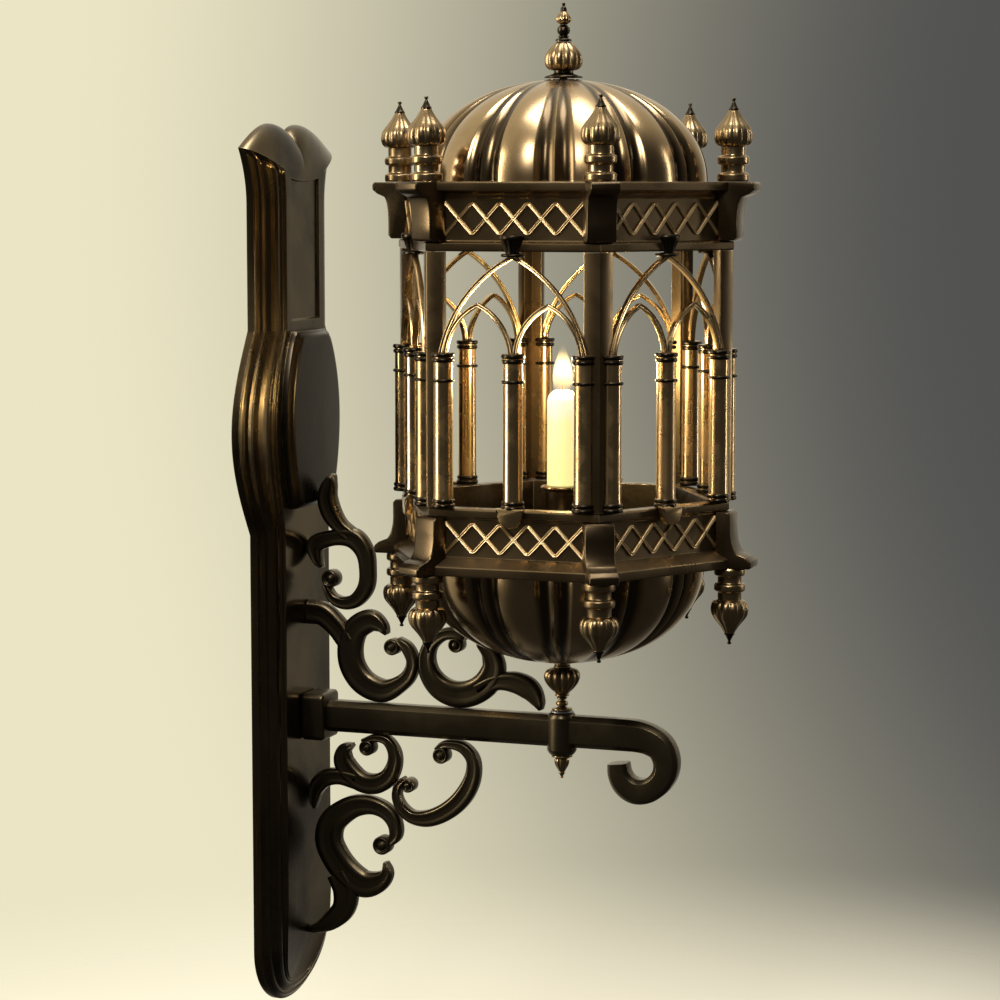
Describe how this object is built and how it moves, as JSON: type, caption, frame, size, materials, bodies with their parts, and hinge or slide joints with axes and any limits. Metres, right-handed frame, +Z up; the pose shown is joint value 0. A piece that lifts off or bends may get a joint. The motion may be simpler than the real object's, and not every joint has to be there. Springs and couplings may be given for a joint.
{
  "type": "wall candle lantern",
  "caption": "Arcaded hexagonal candle lantern with a lobed dome and bowl, turning on a scrolled wall bracket with a moulded backplate.",
  "frame": {"origin": "on the wall plate's flat back, at the height of the arm's centre line", "axes": "+Z up, +Y into the wall, -Y along the arm towards the room"},
  "size_m": [0.2698, 0.3784, 0.7745],
  "materials": {
    "plate_bronze": "dark oil rubbed bronze, polished through on the raised mouldings, fine scratches",
    "bracket_bronze": "dark satin bronze with lighter edges",
    "corner_bronze": "dark brown bronze, satin",
    "rail_brass": "aged brown brass, brighter on wires and edges",
    "lobed_brass": "polished aged brass with dark grooves",
    "turned_brass": "polished aged brass, near black points",
    "column_brass": "aged brass with small dark pits and stains",
    "tray_brass": "mottled brown brass",
    "steel": "plain turned steel",
    "wax": "cream wax, slightly translucent"
  },
  "bodies": {
    "bracket": {"wall_plate": "plate_bronze", "plate_shield": "plate_bronze", "arm_socket": "bracket_bronze", "arm": "bracket_bronze", "stem_bush": "steel", "scroll_1": "bracket_bronze", "scroll_2": "bracket_bronze", "scroll_3": "bracket_bronze", "scroll_4": "bracket_bronze", "scroll_5": "bracket_bronze", "scroll_6": "bracket_bronze"},
    "lantern": {"rod_nut": "steel", "stem": "turned_brass", "knop": "turned_brass", "candle_pan": "turned_brass", "bowl": "lobed_brass", "sill_rail": "rail_brass", "cornice": "rail_brass", "gallery_tray": "tray_brass", "lower_bracket_1": "corner_bronze", "upper_bracket_1": "corner_bronze", "drop_finial_1": "turned_brass", "top_finial_1": "turned_brass", "post_1": "rail_brass", "arcade_1": "column_brass", "lower_bracket_2": "corner_bronze", "upper_bracket_2": "corner_bronze", "drop_finial_2": "turned_brass", "top_finial_2": "turned_brass", "post_2": "rail_brass", "arcade_2": "column_brass", "lower_bracket_3": "corner_bronze", "upper_bracket_3": "corner_bronze", "drop_finial_3": "turned_brass", "top_finial_3": "turned_brass", "post_3": "rail_brass", "arcade_3": "column_brass", "lower_bracket_4": "corner_bronze", "upper_bracket_4": "corner_bronze", "drop_finial_4": "turned_brass", "top_finial_4": "turned_brass", "post_4": "rail_brass", "arcade_4": "column_brass", "lower_bracket_5": "corner_bronze", "upper_bracket_5": "corner_bronze", "drop_finial_5": "turned_brass", "top_finial_5": "turned_brass", "post_5": "rail_brass", "arcade_5": "column_brass", "lower_bracket_6": "corner_bronze", "upper_bracket_6": "corner_bronze", "drop_finial_6": "turned_brass", "top_finial_6": "turned_brass", "post_6": "rail_brass", "arcade_6": "column_brass"},
    "dome": {"dome": "lobed_brass", "dome_finial": "turned_brass"},
    "candle": {"candle": "wax"},
    "washer": {"stem_washer": "turned_brass"},
    "nut": {"end_nut": "turned_brass"}
  },
  "joints": [
    {"name": "lantern_swivel", "type": "hinge", "parent": "bracket", "child": "lantern", "pos_m": [0, -0.229, 0], "axis": [0, 0, 1], "continuous": true},
    {"name": "dome_lift", "type": "slide", "parent": "lantern", "child": "dome", "axis": [0, 0, 1], "range_m": [0, 0.12]},
    {"name": "candle_lift", "type": "slide", "parent": "lantern", "child": "candle", "axis": [0, 0, 1], "range_m": [0, 0.1]},
    {"name": "washer_drop", "type": "slide", "parent": "lantern", "child": "washer", "axis": [0, 0, -1], "range_m": [0, 0.0061]},
    {"name": "nut_turn", "type": "hinge", "parent": "washer", "child": "nut", "pos_m": [0, -0.229, -0.025], "axis": [0, 0, -1], "range_deg": [0, 1728]}
  ],
  "couplings": [
    {"joint": "washer_drop", "follows": "nut_turn", "m_per_rad": 0.00019894}
  ]
}
